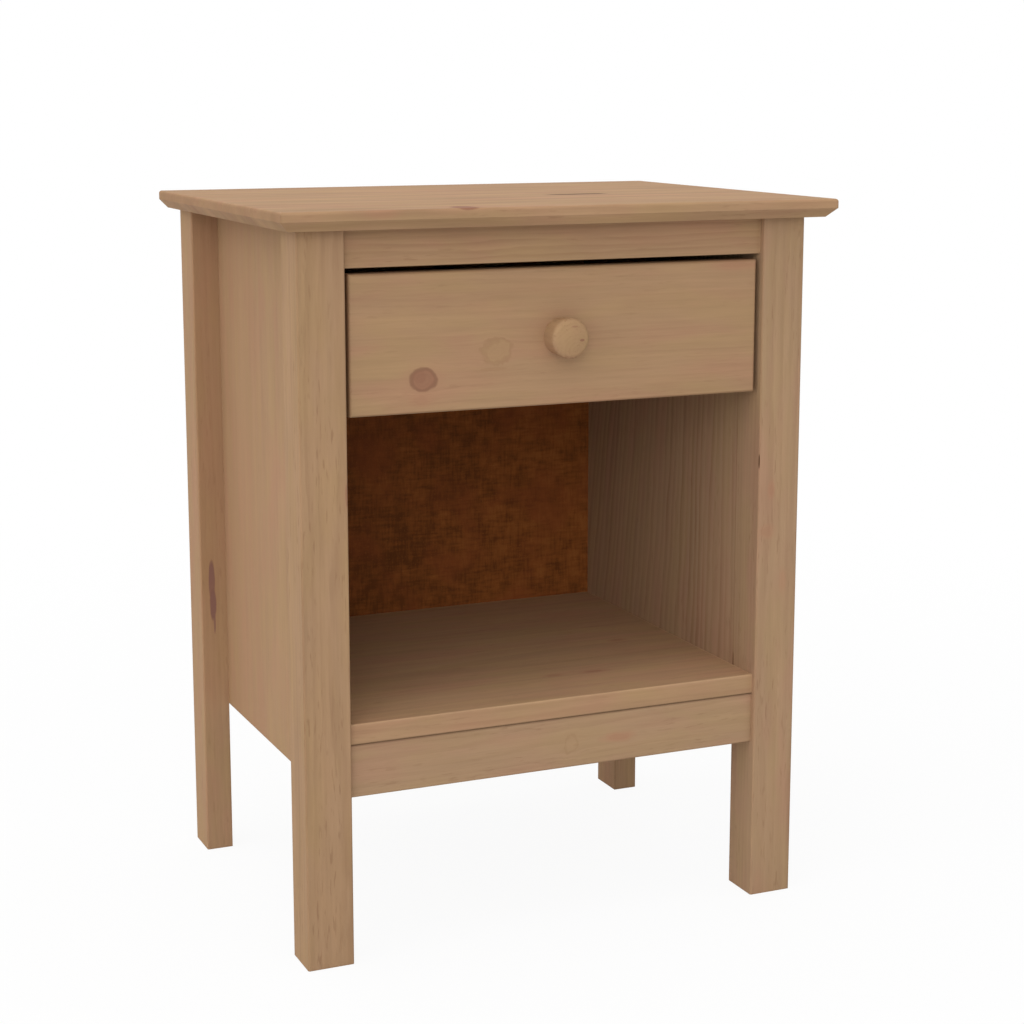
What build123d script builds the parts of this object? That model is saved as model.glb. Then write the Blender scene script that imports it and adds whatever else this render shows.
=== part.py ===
"""Pine nightstand: one drawer on steel roller runners above an open shelf.

All sizes are in millimetres. X runs across the front, Y from front to back and Z up.
The origin is on the floor, under the middle of the top board.
"""

import os

from build123d import *

os.makedirs("parts", exist_ok=True)

# Overall size, which is the size of the top board and its height
WIDTH = 508.0
DEPTH = 378.0
HEIGHT = 640.0

# Top board: its upper arris is rounded, and the underside of its edge is chamfered away
TOP_THICKNESS = 16.0
TOP_SIDE_OVERHANG = 19.5
TOP_FRONT_OVERHANG = 23.5
TOP_ARRIS = 2.5
TOP_CHAMFER = 8.0

# Legs and side panels: a front leg is as wide as a back leg and a panel together
FRONT_LEG_DEPTH = 40.0
BACK_LEG_WIDTH = 25.0
BACK_LEG_DEPTH = 40.0
LEG_ARRIS = 1.5
PANEL_THICKNESS = 16.0
TONGUE_THICKNESS = 8.0
TONGUE_LENGTH = 8.0

# Rails, shelf and apron
TOP_RAIL_HEIGHT = 32.0
TOP_RAIL_THICKNESS = 22.0
TOP_RAIL_SETBACK = 6.0
APRON_CLEARANCE = 146.0
APRON_HEIGHT = 46.0
APRON_THICKNESS = 18.0
APRON_SETBACK = 5.5
SHELF_THICKNESS = 18.0
SHELF_SETBACK = 5.0
BACK_TOP_RAIL_HEIGHT = 40.0
BACK_RAIL_THICKNESS = 18.0
RAIL_ARRIS = 1.2

# Hardboard back, in a rebate of the side panels
BACK_THICKNESS = 3.0
BACK_RECESS = 1.0
REBATE_WIDTH = 6.0
BACK_TOP_GAP = 4.0
BACK_BOTTOM_GAP = 4.0

# Cleats under the top board and under the shelf
CLEAT_SIZE = 20.0
CLEAT_END_GAP = 2.0

# Drawer
DRAWER_FRONT_HEIGHT = 117.0
DRAWER_FRONT_THICKNESS = 18.0
DRAWER_FRONT_ROUND = 2.5
DRAWER_SETBACK = 4.5
DRAWER_SIDE_GAP = 4.0
DRAWER_TOP_GAP = 5.0
DRAWER_SIDE_THICKNESS = 12.0
DRAWER_SIDE_LIFT = 14.0
DRAWER_SIDE_DROP = 15.0
DRAWER_BACK_THICKNESS = 12.0
DRAWER_REAR_CLEARANCE = 8.0
DRAWER_BOTTOM_THICKNESS = 3.0
DRAWER_BOTTOM_LIFT = 13.0
SIDE_HOUSING_DEPTH = 6.0
BOTTOM_GROOVE_DEPTH = 4.0

# Knob: a turned body that widens to an almost flat face
KNOB_LENGTH = 25.0
KNOB_BASE_RADIUS = 15.8
KNOB_FACE_RADIUS = 17.0
KNOB_RIM_ROUND = 5.0
KNOB_DOME = 1.5

# Roller runners: a channel on the cabinet, a rail under the drawer, and a roller on each
RUNNER_SPACE = 12.7
SHEET_THICKNESS = 1.2
CHANNEL_DROP = 2.0
ROLLER_DIAMETER = 18.6
ROLLER_RIM_CHAMFER = 0.8
ROLLER_INSET = 15.0
ROLLER_END_PLAY = 0.5
RUNNING_CLEARANCE = 0.3
RUNNER_FRONT_GAP = 2.0
TRACK_HEAD_PLAY = 0.6
TRACK_SIDE_PLAY = 1.8
TRACK_LIP = 2.0
TRACK_END_GAP = 2.0
CHANNEL_TIP_PLAY = 0.9
RAIL_FOOT_WIDTH = 11.0

# Roller axles: rivets with a head in the roller and a shoulder beside it
AXLE_DIAMETER = 5.0
AXLE_FIT = 0.05
AXLE_HEAD_DIAMETER = 8.0
AXLE_HEAD_THICKNESS = 1.2
AXLE_HEAD_SINK = 0.2
AXLE_HEAD_PLAY = 0.5

# Wooden dowels
DOWEL_DIAMETER = 8.0
DOWEL_LENGTH = 30.0
DOWEL_CHAMFER = 1.0
PANEL_DOWEL_DEPTH = 10.0
BACK_LEG_DOWEL_DEPTH = 15.0
TOP_RAIL_DOWEL_PITCH = 12.0
APRON_DOWEL_PITCH = 22.0
BACK_TOP_RAIL_DOWEL_PITCH = 18.0
BACK_LEG_DOWEL_END = 84.0
DRAWER_DOWEL_DIAMETER = 5.0
DRAWER_DOWEL_PITCH = 32.0

# Countersunk wood screws in the cleats
SCREW_DIAMETER = 4.0
SCREW_HEAD_DIAMETER = 8.0
SCREW_BITE = 11.0
SCREW_STAGGER = 16.0
CLEAT_SCREW_END = 45.0

# Pan head screws of the runners, and the machine screw of the knob
PAN_DIAMETER = 3.5
PAN_LENGTH = 12.0
PAN_HEAD_DIAMETER = 6.4
PAN_HEAD_THICKNESS = 1.8
RUNNER_SCREW_END = 45.0
KNOB_SCREW_DIAMETER = 4.0
KNOB_SCREW_HEAD_DIAMETER = 8.0
KNOB_SCREW_HEAD_THICKNESS = 2.4
KNOB_SCREW_REACH = 14.0

# Screwdriver slots
SLOT_WIDTH = 0.9
SLOT_DEPTH = 1.0
SLOT_SHARE = 0.6

# Flat head nails
NAIL_DIAMETER = 1.4
NAIL_LENGTH = 15.0
NAIL_HEAD_DIAMETER = 3.6
NAIL_HEAD_THICKNESS = 0.6
BACK_NAIL_END = 68.0
RAIL_NAIL_END = 73.0
DRAWER_NAIL_END = 68.0

# Counts of fasteners in a row
CLEAT_SCREW_COUNT = 3
RUNNER_SCREW_COUNT = 3
BACK_LEG_DOWEL_COUNT = 3
BACK_NAIL_COUNT = 5
RAIL_NAIL_COUNT = 3
DRAWER_NAIL_COUNT = 3

# Room for glue, and for a fastener in its hole
GLUE_GAP = 0.1
HOLE_GAP = 0.05

# Places worked out from the sizes above
SIDES = {"left": -1, "right": 1}
top_front = -DEPTH / 2
leg_top = HEIGHT - TOP_THICKNESS
leg_front = top_front + TOP_FRONT_OVERHANG
leg_back = DEPTH / 2
leg_outer = WIDTH / 2 - TOP_SIDE_OVERHANG
panel_outer = leg_outer - BACK_LEG_WIDTH
panel_inner = panel_outer - PANEL_THICKNESS
panel_middle = (panel_outer + panel_inner) / 2
panel_front = leg_front + FRONT_LEG_DEPTH
panel_bottom = APRON_CLEARANCE
panel_height = leg_top - panel_bottom
inner_width = 2 * panel_inner

shelf_bottom = APRON_CLEARANCE + APRON_HEIGHT
top_rail_bottom = leg_top - TOP_RAIL_HEIGHT
top_rail_front = leg_front + TOP_RAIL_SETBACK
top_rail_back = top_rail_front + TOP_RAIL_THICKNESS
apron_front = leg_front + APRON_SETBACK
apron_back = apron_front + APRON_THICKNESS
shelf_front = leg_front + SHELF_SETBACK
back_outer = leg_back - BACK_RECESS
back_inner = back_outer - BACK_THICKNESS
back_rail_front = back_inner - BACK_RAIL_THICKNESS
back_rail_middle = back_inner - BACK_RAIL_THICKNESS / 2
back_top_rail_middle = leg_top - BACK_TOP_RAIL_HEIGHT / 2
apron_middle = APRON_CLEARANCE + APRON_HEIGHT / 2

drawer_top = top_rail_bottom - DRAWER_TOP_GAP
drawer_bottom = drawer_top - DRAWER_FRONT_HEIGHT
drawer_middle = (drawer_top + drawer_bottom) / 2
drawer_face = leg_front + DRAWER_SETBACK
drawer_inside = drawer_face + DRAWER_FRONT_THICKNESS
drawer_width = inner_width - 2 * DRAWER_SIDE_GAP
box_outer = panel_inner - RUNNER_SPACE
box_inner = box_outer - DRAWER_SIDE_THICKNESS
box_middle = (box_outer + box_inner) / 2
box_bottom = drawer_bottom + DRAWER_SIDE_LIFT
box_top = drawer_top - DRAWER_SIDE_DROP
box_back = back_rail_front - DRAWER_REAR_CLEARANCE
box_back_inside = box_back - DRAWER_BACK_THICKNESS
floor_bottom = box_bottom + DRAWER_BOTTOM_LIFT
floor_top = floor_bottom + DRAWER_BOTTOM_THICKNESS
screw_length = CLEAT_SIZE + SCREW_BITE

runner_front = drawer_inside + RUNNER_FRONT_GAP
runner_length = box_back - runner_front
channel_floor = box_bottom - CHANNEL_DROP
roller_z = channel_floor + RUNNING_CLEARANCE + ROLLER_DIAMETER / 2
track_under = roller_z + ROLLER_DIAMETER / 2 + RUNNING_CLEARANCE
track_top = track_under + SHEET_THICKNESS
channel_ceiling = track_top + TRACK_HEAD_PLAY
channel_middle = (channel_floor + channel_ceiling) / 2
channel_web = panel_inner - SHEET_THICKNESS
rail_web = box_outer + SHEET_THICKNESS
channel_tip = rail_web + CHANNEL_TIP_PLAY
track_tip = channel_web - TRACK_SIDE_PLAY
roller_inner = rail_web + ROLLER_END_PLAY
roller_outer = track_tip - SHEET_THICKNESS - ROLLER_END_PLAY
front_roller_y = runner_front + ROLLER_INSET
rear_roller_y = box_back - ROLLER_INSET
track_end = rear_roller_y - ROLLER_DIAMETER / 2 - TRACK_END_GAP
foot_inner = box_outer - RAIL_FOOT_WIDTH
foot_middle = box_outer - RAIL_FOOT_WIDTH / 2


def row(start, end, count):
    """Evenly spaced places from start to end."""
    return [start + (end - start) * step / (count - 1) for step in range(count)]


def facing(direction, *places):
    """Planes at the given places that look along the direction."""
    return [Plane(origin=place, z_dir=direction) for place in places]


def cross_slot(seats, head_diameter):
    """Cut a screwdriver cross into the heads whose flat sides lie on the seats."""
    arm = head_diameter * SLOT_SHARE
    with Locations(*seats):
        Box(arm, SLOT_WIDTH, 2 * SLOT_DEPTH, mode=Mode.SUBTRACT)
        Box(SLOT_WIDTH, arm, 2 * SLOT_DEPTH, mode=Mode.SUBTRACT)


def wood_screws(seats):
    """Countersunk screws with their heads flush in the seats."""
    shank = (Align.CENTER, Align.CENTER, Align.MAX)
    head_depth = (SCREW_HEAD_DIAMETER - SCREW_DIAMETER) / 2
    with Locations(*seats):
        Cylinder(SCREW_DIAMETER / 2, screw_length, align=shank)
        Cone(SCREW_DIAMETER / 2, SCREW_HEAD_DIAMETER / 2, head_depth, align=shank)
    cross_slot(seats, SCREW_HEAD_DIAMETER)


def wood_screw_holes(seats):
    """Countersunk holes for the wood screws."""
    with Locations(*seats):
        CounterSinkHole(
            SCREW_DIAMETER / 2 + HOLE_GAP,
            SCREW_HEAD_DIAMETER / 2 + HOLE_GAP,
            depth=screw_length + HOLE_GAP,
            counter_sink_angle=90,
        )


def screw_tip_holes(seats):
    """Plain holes for the shanks of the wood screws, in the piece that they hold."""
    with Locations(*seats):
        Hole(SCREW_DIAMETER / 2 + HOLE_GAP, depth=screw_length + HOLE_GAP)


def pan_screws(seats, diameter, length, head_diameter, head_thickness):
    """Pan head screws with the undersides of their heads on the seats."""
    with Locations(*seats):
        Cylinder(diameter / 2, length, align=(Align.CENTER, Align.CENTER, Align.MAX))
        Cylinder(head_diameter / 2, head_thickness, align=(Align.CENTER, Align.CENTER, Align.MIN))
    heads = [seat.offset(head_thickness) for seat in seats]
    cross_slot(heads, head_diameter)


def nails(seats):
    """Flat head nails with the undersides of their heads on the seats."""
    with Locations(*seats):
        Cylinder(NAIL_DIAMETER / 2, NAIL_LENGTH, align=(Align.CENTER, Align.CENTER, Align.MAX))
        Cylinder(
            NAIL_HEAD_DIAMETER / 2,
            NAIL_HEAD_THICKNESS,
            align=(Align.CENTER, Align.CENTER, Align.MIN),
        )


def nail_holes(seats):
    """Holes for the nails."""
    with Locations(*seats):
        Hole(NAIL_DIAMETER / 2 + HOLE_GAP, depth=NAIL_LENGTH + HOLE_GAP)


def dowels(middles, diameter, length):
    """Wooden dowels, centred on the given planes."""
    with Locations(*middles):
        Cylinder(diameter / 2, length)


def dowel_holes(mouths, diameter, depth):
    """Blind holes for dowels."""
    with Locations(*mouths):
        Hole(diameter / 2 + HOLE_GAP, depth=depth + GLUE_GAP)


# Where the dowels, screws and nails go; a place is written for the right side and mirrored by its sign
top_rail_dowel_z = row(
    leg_top - TOP_RAIL_HEIGHT / 2 - TOP_RAIL_DOWEL_PITCH / 2,
    leg_top - TOP_RAIL_HEIGHT / 2 + TOP_RAIL_DOWEL_PITCH / 2,
    2,
)
apron_dowel_z = row(apron_middle - APRON_DOWEL_PITCH / 2, apron_middle + APRON_DOWEL_PITCH / 2, 2)
back_top_rail_dowel_z = row(
    back_top_rail_middle - BACK_TOP_RAIL_DOWEL_PITCH / 2,
    back_top_rail_middle + BACK_TOP_RAIL_DOWEL_PITCH / 2,
    2,
)
top_rail_dowel_y = (top_rail_front + top_rail_back) / 2
apron_dowel_y = (apron_front + apron_back) / 2
back_leg_y = leg_back - BACK_LEG_DEPTH / 2
back_leg_dowel_z = row(
    panel_bottom + BACK_LEG_DOWEL_END, leg_top - BACK_LEG_DOWEL_END, BACK_LEG_DOWEL_COUNT
)
leg_dowel_depth = DOWEL_LENGTH / 2
back_rail_dowel_depth = DOWEL_LENGTH - PANEL_DOWEL_DEPTH
back_leg_dowel_length = PANEL_DOWEL_DEPTH + BACK_LEG_DOWEL_DEPTH

top_cleat_front = top_rail_back + CLEAT_END_GAP
shelf_cleat_front = apron_back + CLEAT_END_GAP
cleat_back = back_rail_front - CLEAT_END_GAP
cleat_inner = panel_inner - CLEAT_SIZE
cleat_middle = panel_inner - CLEAT_SIZE / 2
top_cleat_bottom = leg_top - CLEAT_SIZE
shelf_cleat_bottom = shelf_bottom - CLEAT_SIZE
top_screw_y = row(top_cleat_front + CLEAT_SCREW_END, cleat_back - CLEAT_SCREW_END, CLEAT_SCREW_COUNT)
shelf_screw_y = row(shelf_cleat_front + CLEAT_SCREW_END, cleat_back - CLEAT_SCREW_END, CLEAT_SCREW_COUNT)
runner_screw_y = row(
    runner_front + RUNNER_SCREW_END,
    runner_front + runner_length - RUNNER_SCREW_END,
    RUNNER_SCREW_COUNT,
)
back_nail_z = row(panel_bottom + BACK_NAIL_END, leg_top - BACK_NAIL_END, BACK_NAIL_COUNT)
rail_nail_x = row(RAIL_NAIL_END - panel_inner, panel_inner - RAIL_NAIL_END, RAIL_NAIL_COUNT)
drawer_nail_x = row(DRAWER_NAIL_END - box_inner, box_inner - DRAWER_NAIL_END, DRAWER_NAIL_COUNT)
drawer_back_middle = (floor_top + box_top) / 2
drawer_dowel_z = row(
    drawer_back_middle - DRAWER_DOWEL_PITCH / 2,
    drawer_back_middle + DRAWER_DOWEL_PITCH / 2,
    2,
)
drawer_dowel_y = (box_back + box_back_inside) / 2

top_screw_seats = []
shelf_screw_seats = []
cleat_screw_seats = []
channel_screw_seats = []
rail_screw_seats = []
for sign in SIDES.values():
    for y in top_screw_y:
        top_screw_seats += facing((0, 0, -1), (sign * cleat_middle, y, top_cleat_bottom))
        cleat_screw_seats += facing(
            (-sign, 0, 0), (sign * cleat_inner, y + SCREW_STAGGER, leg_top - CLEAT_SIZE / 2)
        )
    for y in shelf_screw_y:
        shelf_screw_seats += facing((0, 0, -1), (sign * cleat_middle, y, shelf_cleat_bottom))
        cleat_screw_seats += facing(
            (-sign, 0, 0), (sign * cleat_inner, y + SCREW_STAGGER, shelf_bottom - CLEAT_SIZE / 2)
        )
    for y in runner_screw_y:
        channel_screw_seats += facing((-sign, 0, 0), (sign * channel_web, y, channel_middle))
        rail_screw_seats += facing((0, 0, -1), (sign * foot_middle, y, box_bottom - SHEET_THICKNESS))

back_nail_seats = []
for sign in SIDES.values():
    for z in back_nail_z:
        back_nail_seats += facing((0, 1, 0), (sign * (panel_inner + REBATE_WIDTH / 2), back_outer, z))
for z in (back_top_rail_middle, apron_middle):
    for x in rail_nail_x:
        back_nail_seats += facing((0, 1, 0), (x, back_outer, z))
drawer_nail_seats = facing((0, 0, -1), *[(x, drawer_dowel_y, floor_bottom) for x in drawer_nail_x])

# Top board, with the edge worked along the front and both sides and square at the back
with BuildPart() as top_board:
    with BuildSketch(Plane.XY.offset(leg_top)):
        Rectangle(WIDTH, DEPTH)
    extrude(amount=TOP_THICKNESS)
    upper_edges = top_board.faces().sort_by(Axis.Z)[-1].edges().sort_by(Axis.Y)[:-1]
    fillet(upper_edges, TOP_ARRIS)
    lower_edges = top_board.faces().sort_by(Axis.Z)[0].edges().sort_by(Axis.Y)[:-1]
    chamfer(lower_edges, TOP_CHAMFER)
    screw_tip_holes(top_screw_seats)
top_board.part.label = "top_board"
export_step(top_board.part, "parts/top_board.step")

# Legs: the front ones are grooved for the side panel, the back ones are dowelled to its outside.
# Their corners are rounded, apart from those that meet the panel.
for side, sign in SIDES.items():
    with BuildPart() as front_leg:
        with BuildSketch() as section:
            with Locations((sign * (leg_outer + panel_inner) / 2, leg_front + FRONT_LEG_DEPTH / 2)):
                Rectangle(leg_outer - panel_inner, FRONT_LEG_DEPTH)
            corners = section.vertices().sort_by_distance((sign * panel_inner, panel_front, 0))
            fillet(corners[1:], LEG_ARRIS)
        extrude(amount=leg_top)
        with BuildSketch(Plane.XY.offset(panel_bottom)):
            with Locations((sign * panel_middle, panel_front)):
                Rectangle(TONGUE_THICKNESS + 2 * GLUE_GAP, 2 * (TONGUE_LENGTH + GLUE_GAP))
        extrude(amount=panel_height, mode=Mode.SUBTRACT)
        mouths = [(sign * panel_inner, top_rail_dowel_y, z) for z in top_rail_dowel_z]
        mouths += [(sign * panel_inner, apron_dowel_y, z) for z in apron_dowel_z]
        dowel_holes(facing((-sign, 0, 0), *mouths), DOWEL_DIAMETER, leg_dowel_depth)
    front_leg.part.label = f"front_{side}_leg"
    export_step(front_leg.part, f"parts/front_{side}_leg.step")

    with BuildPart() as back_leg:
        with BuildSketch() as section:
            with Locations((sign * (leg_outer + panel_outer) / 2, back_leg_y)):
                Rectangle(BACK_LEG_WIDTH, BACK_LEG_DEPTH)
            corners = section.vertices().sort_by_distance((sign * panel_outer, back_leg_y, 0))
            fillet(corners[2:], LEG_ARRIS)
        extrude(amount=leg_top)
        mouths = [(sign * panel_outer, back_leg_y, z) for z in back_leg_dowel_z]
        dowel_holes(facing((-sign, 0, 0), *mouths), DOWEL_DIAMETER, BACK_LEG_DOWEL_DEPTH)
    back_leg.part.label = f"back_{side}_leg"
    export_step(back_leg.part, f"parts/back_{side}_leg.step")

# Side panels, with a tongue at the front and a rebate for the back
for side, sign in SIDES.items():
    with BuildPart() as side_panel:
        with BuildSketch(Plane.XY.offset(panel_bottom)):
            with Locations((sign * panel_middle, (panel_front + leg_back) / 2)):
                Rectangle(PANEL_THICKNESS, leg_back - panel_front)
            with Locations((sign * panel_middle, panel_front - TONGUE_LENGTH / 2)):
                Rectangle(TONGUE_THICKNESS, TONGUE_LENGTH)
            with Locations((sign * panel_inner, leg_back)):
                Rectangle(2 * REBATE_WIDTH, 2 * (leg_back - back_inner), mode=Mode.SUBTRACT)
        extrude(amount=panel_height)
        mouths = [(sign * panel_outer, back_leg_y, z) for z in back_leg_dowel_z]
        dowel_holes(facing((sign, 0, 0), *mouths), DOWEL_DIAMETER, PANEL_DOWEL_DEPTH)
        rail_dowel_z = back_top_rail_dowel_z + apron_dowel_z
        mouths = [(sign * panel_inner, back_rail_middle, z) for z in rail_dowel_z]
        dowel_holes(facing((-sign, 0, 0), *mouths), DOWEL_DIAMETER, PANEL_DOWEL_DEPTH)
        screw_tip_holes(cleat_screw_seats)
        with Locations(*channel_screw_seats):
            Hole(PAN_DIAMETER / 2 + HOLE_GAP, depth=PAN_LENGTH + HOLE_GAP)
        nail_holes(back_nail_seats)
    side_panel.part.label = f"{side}_side_panel"
    export_step(side_panel.part, f"parts/{side}_side_panel.step")

# Front top rail, above the drawer
with BuildPart() as front_top_rail:
    with BuildSketch(Plane.XY.offset(top_rail_bottom)):
        with Locations((0, top_rail_dowel_y)):
            Rectangle(inner_width, TOP_RAIL_THICKNESS)
    extrude(amount=TOP_RAIL_HEIGHT)
    fillet(front_top_rail.edges().filter_by(Axis.X).group_by(Axis.Y)[0], RAIL_ARRIS)
    for sign in SIDES.values():
        mouths = [(sign * panel_inner, top_rail_dowel_y, z) for z in top_rail_dowel_z]
        dowel_holes(facing((sign, 0, 0), *mouths), DOWEL_DIAMETER, leg_dowel_depth)
front_top_rail.part.label = "front_top_rail"
export_step(front_top_rail.part, "parts/front_top_rail.step")

# Apron, below the front edge of the shelf
with BuildPart() as apron:
    with BuildSketch(Plane.XY.offset(APRON_CLEARANCE)):
        with Locations((0, apron_dowel_y)):
            Rectangle(inner_width, APRON_THICKNESS)
    extrude(amount=APRON_HEIGHT)
    fillet(apron.edges().filter_by(Axis.X).group_by(Axis.Y)[0], RAIL_ARRIS)
    for sign in SIDES.values():
        mouths = [(sign * panel_inner, apron_dowel_y, z) for z in apron_dowel_z]
        dowel_holes(facing((sign, 0, 0), *mouths), DOWEL_DIAMETER, leg_dowel_depth)
apron.part.label = "apron"
export_step(apron.part, "parts/apron.step")

# Back rails: one under the top board, one under the shelf
back_rails = {
    "back_top_rail": (leg_top - BACK_TOP_RAIL_HEIGHT, BACK_TOP_RAIL_HEIGHT, back_top_rail_dowel_z),
    "back_bottom_rail": (APRON_CLEARANCE, APRON_HEIGHT, apron_dowel_z),
}
for name, (bottom, height, dowel_z) in back_rails.items():
    with BuildPart() as back_rail:
        with BuildSketch(Plane.XY.offset(bottom)):
            with Locations((0, back_rail_middle)):
                Rectangle(inner_width, BACK_RAIL_THICKNESS)
        extrude(amount=height)
        for sign in SIDES.values():
            mouths = [(sign * panel_inner, back_rail_middle, z) for z in dowel_z]
            dowel_holes(facing((sign, 0, 0), *mouths), DOWEL_DIAMETER, back_rail_dowel_depth)
        nail_holes(back_nail_seats)
    back_rail.part.label = name
    export_step(back_rail.part, f"parts/{name}.step")

# Shelf: floor of the open compartment, resting on the apron, the back rail and two cleats
with BuildPart() as shelf:
    with BuildSketch(Plane.XY.offset(shelf_bottom)):
        with Locations((0, (shelf_front + back_inner) / 2)):
            Rectangle(inner_width, back_inner - shelf_front)
    extrude(amount=SHELF_THICKNESS)
    fillet(shelf.edges().filter_by(Axis.X).group_by(Axis.Y)[0], RAIL_ARRIS)
    screw_tip_holes(shelf_screw_seats)
shelf.part.label = "shelf"
export_step(shelf.part, "parts/shelf.step")

# Hardboard back, nailed into the rebates of the panels and to the back rails
with BuildPart() as back_panel:
    with BuildSketch(Plane.XY.offset(panel_bottom + BACK_BOTTOM_GAP)):
        with Locations((0, (back_inner + back_outer) / 2)):
            Rectangle(inner_width + 2 * (REBATE_WIDTH - GLUE_GAP), BACK_THICKNESS)
    extrude(amount=panel_height - BACK_BOTTOM_GAP - BACK_TOP_GAP)
    nail_holes(back_nail_seats)
back_panel.part.label = "back_panel"
export_step(back_panel.part, "parts/back_panel.step")

# Cleats: strips along the side panels, under the top board and under the shelf
cleats = {
    "top_cleat": (top_cleat_bottom, top_cleat_front, top_screw_seats),
    "shelf_cleat": (shelf_cleat_bottom, shelf_cleat_front, shelf_screw_seats),
}
for name, (bottom, front, upright_seats) in cleats.items():
    for side, sign in SIDES.items():
        with BuildPart() as cleat:
            with BuildSketch(Plane.XY.offset(bottom)):
                with Locations((sign * cleat_middle, (front + cleat_back) / 2)):
                    Rectangle(CLEAT_SIZE, cleat_back - front)
            extrude(amount=CLEAT_SIZE)
            wood_screw_holes(upright_seats)
            wood_screw_holes(cleat_screw_seats)
        cleat.part.label = f"{side}_{name}"
        export_step(cleat.part, f"parts/{side}_{name}.step")

# Drawer front, housed at the back for the sides and the bottom
knob_axis = Axis((0, drawer_face, drawer_middle), (0, -1, 0))
knob_screw_seat = facing((0, 1, 0), (0, drawer_inside, drawer_middle))
knob_screw_length = DRAWER_FRONT_THICKNESS + KNOB_SCREW_REACH
with BuildPart() as drawer_front:
    with BuildSketch(Plane.XY.offset(drawer_bottom)):
        with Locations((0, (drawer_face + drawer_inside) / 2)):
            Rectangle(drawer_width, DRAWER_FRONT_THICKNESS)
    extrude(amount=DRAWER_FRONT_HEIGHT)
    fillet(drawer_front.faces().sort_by(Axis.Y)[0].edges(), DRAWER_FRONT_ROUND)
    with BuildSketch(Plane.XY.offset(box_bottom)):
        for sign in SIDES.values():
            with Locations((sign * box_middle, drawer_inside)):
                Rectangle(DRAWER_SIDE_THICKNESS + 2 * GLUE_GAP, 2 * (SIDE_HOUSING_DEPTH + GLUE_GAP))
    extrude(amount=box_top - box_bottom + GLUE_GAP, mode=Mode.SUBTRACT)
    with BuildSketch(Plane.XY.offset(floor_bottom - GLUE_GAP)):
        with Locations((0, drawer_inside)):
            Rectangle(2 * box_inner, 2 * (SIDE_HOUSING_DEPTH + GLUE_GAP))
    extrude(amount=DRAWER_BOTTOM_THICKNESS + 2 * GLUE_GAP, mode=Mode.SUBTRACT)
    with Locations(*knob_screw_seat):
        Hole(KNOB_SCREW_DIAMETER / 2 + HOLE_GAP, depth=knob_screw_length)
drawer_front.part.label = "drawer_front"
export_step(drawer_front.part, "parts/drawer_front.step")

# Drawer sides, grooved inside for the bottom and bored for the dowels of the back
for side, sign in SIDES.items():
    with BuildPart() as drawer_side:
        with BuildSketch(Plane.XY.offset(box_bottom)):
            with Locations((sign * box_middle, (drawer_inside - SIDE_HOUSING_DEPTH + box_back) / 2)):
                Rectangle(DRAWER_SIDE_THICKNESS, box_back - drawer_inside + SIDE_HOUSING_DEPTH)
        extrude(amount=box_top - box_bottom)
        with BuildSketch(Plane.XY.offset(floor_bottom - GLUE_GAP)):
            with Locations((sign * box_inner, (drawer_inside - SIDE_HOUSING_DEPTH + box_back) / 2)):
                Rectangle(2 * BOTTOM_GROOVE_DEPTH, box_back - drawer_inside + SIDE_HOUSING_DEPTH)
        extrude(amount=DRAWER_BOTTOM_THICKNESS + 2 * GLUE_GAP, mode=Mode.SUBTRACT)
        mouths = [(sign * box_outer, drawer_dowel_y, z) for z in drawer_dowel_z]
        dowel_holes(facing((sign, 0, 0), *mouths), DRAWER_DOWEL_DIAMETER, DOWEL_LENGTH)
        with Locations(*rail_screw_seats):
            Hole(PAN_DIAMETER / 2 + HOLE_GAP, depth=PAN_LENGTH + HOLE_GAP)
    drawer_side.part.label = f"drawer_{side}_side"
    export_step(drawer_side.part, f"parts/drawer_{side}_side.step")

# Drawer back, between the sides and above the bottom
with BuildPart() as drawer_back:
    with BuildSketch(Plane.XY.offset(floor_top)):
        with Locations((0, drawer_dowel_y)):
            Rectangle(2 * box_inner, DRAWER_BACK_THICKNESS)
    extrude(amount=box_top - floor_top)
    for sign in SIDES.values():
        mouths = [(sign * box_outer, drawer_dowel_y, z) for z in drawer_dowel_z]
        dowel_holes(facing((sign, 0, 0), *mouths), DRAWER_DOWEL_DIAMETER, DOWEL_LENGTH)
    nail_holes(drawer_nail_seats)
drawer_back.part.label = "drawer_back"
export_step(drawer_back.part, "parts/drawer_back.step")

# Drawer bottom: hardboard in the grooves of the sides, with a tongue into the groove of the front
with BuildPart() as drawer_floor:
    with BuildSketch(Plane.XY.offset(floor_bottom)):
        with Locations((0, (drawer_inside + box_back) / 2)):
            Rectangle(2 * (box_inner + BOTTOM_GROOVE_DEPTH - GLUE_GAP), box_back - drawer_inside)
        with Locations((0, drawer_inside - SIDE_HOUSING_DEPTH / 2)):
            Rectangle(2 * (box_inner - GLUE_GAP), SIDE_HOUSING_DEPTH)
    extrude(amount=DRAWER_BOTTOM_THICKNESS)
    nail_holes(drawer_nail_seats)
drawer_floor.part.label = "drawer_bottom"
export_step(drawer_floor.part, "parts/drawer_bottom.step")

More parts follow.
